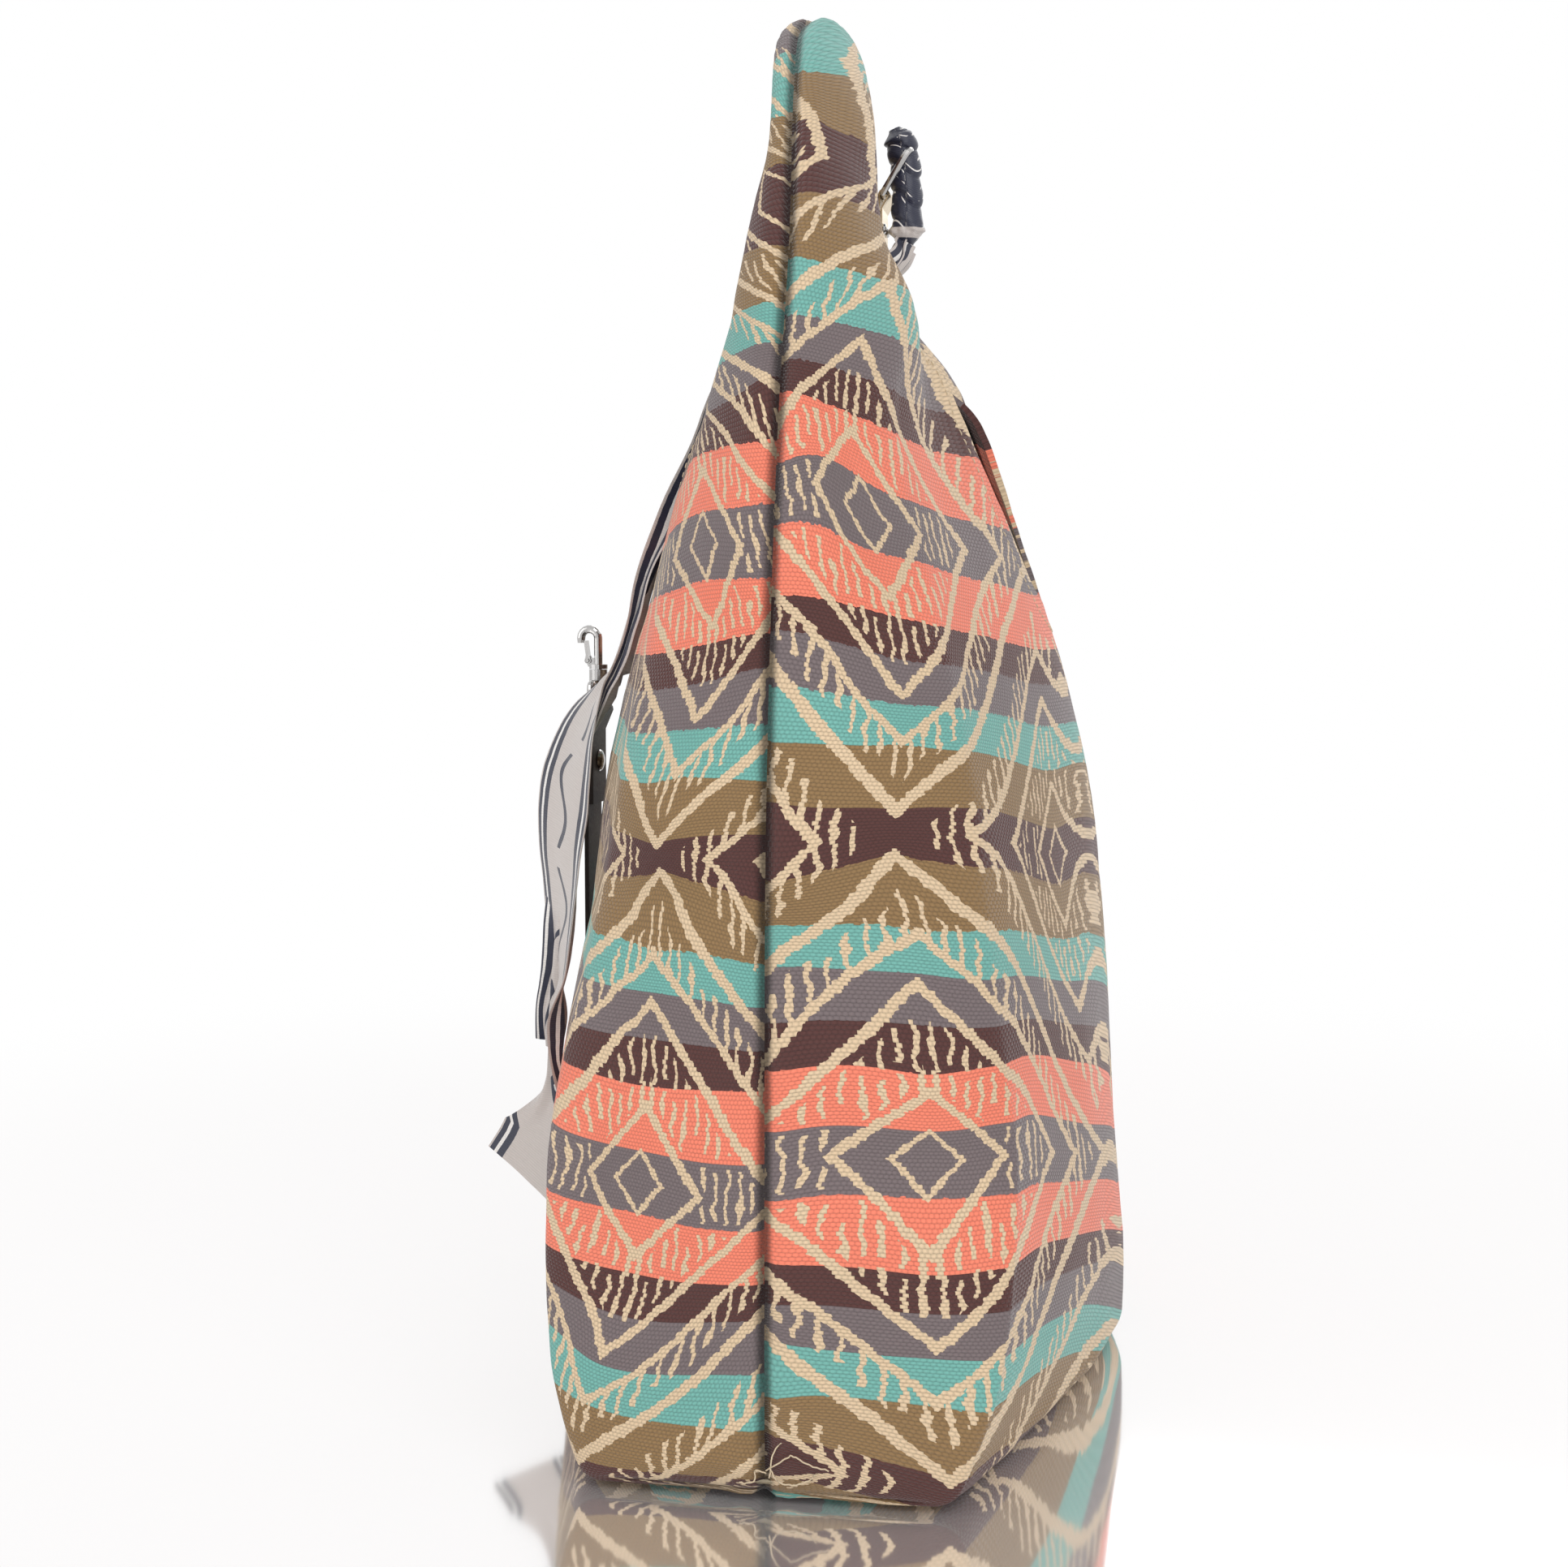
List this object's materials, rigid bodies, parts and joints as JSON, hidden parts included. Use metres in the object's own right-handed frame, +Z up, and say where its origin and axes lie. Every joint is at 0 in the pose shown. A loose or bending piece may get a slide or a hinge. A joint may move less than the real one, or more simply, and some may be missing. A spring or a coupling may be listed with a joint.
{
  "type": "shoulder bag",
  "caption": "Hobo shoulder bag in patterned canvas: open mouth, arched strap in one with the body, leather closing strap with swivel snap hook, and a satin scarf tied to a ring on the strap.",
  "frame": {"origin": "middle of the bottom, on the floor it stands on", "axes": "+X along the bag to the end that the picture shows, -Y to the front with the closing strap, +Z up"},
  "size_m": [0.4008, 0.2967, 0.579],
  "materials": {
    "canvas": "coarse woven canvas with a printed stripe and diamond pattern",
    "cotton_lining": "plain cotton",
    "dark_leather": "satin",
    "polished_metal": "polished",
    "pale_gold": "polished",
    "satin": "satin with navy and cream borders"
  },
  "bodies": {
    "root": {"back_panel": "canvas", "front_panel": "canvas", "lining": "cotton_lining", "closing_strap": "dark_leather", "strap_rivet": "polished_metal", "closing_tab": "dark_leather", "ring_plate": "pale_gold", "plate_rivet_1": "polished_metal", "plate_rivet_2": "polished_metal", "scarf_ring": "polished_metal", "scarf_coil": "satin", "scarf_tail_long": "satin", "scarf_tail_short": "satin"},
    "swivel_loop": {"swivel_loop": "polished_metal"},
    "snap_hook": {"snap_hook": "polished_metal"},
    "hook_gate": {"hook_gate": "polished_metal"},
    "closing_ring": {"closing_ring": "polished_metal"}
  },
  "joints": [
    {"name": "loop_tilt", "type": "hinge", "parent": "root", "child": "swivel_loop", "pos_m": [0, -0.11565, 0.277], "axis": [1, 0, 0], "range_deg": [-25, 80]},
    {"name": "hook_swivel", "type": "hinge", "parent": "swivel_loop", "child": "snap_hook", "pos_m": [0, -0.11565, 0.29], "axis": [0, 0, 1], "continuous": true},
    {"name": "gate_pivot", "type": "hinge", "parent": "snap_hook", "child": "hook_gate", "pos_m": [0, -0.12005, 0.29975], "axis": [1, 0, 0], "range_deg": [-18, 0], "stiffness_Nm_per_rad": 0.01, "springref_deg": 8.59},
    {"name": "ring_swing", "type": "hinge", "parent": "root", "child": "closing_ring", "pos_m": [0, 0.0813, 0.286], "axis": [1, 0, 0], "range_deg": [-90, 35]}
  ]
}
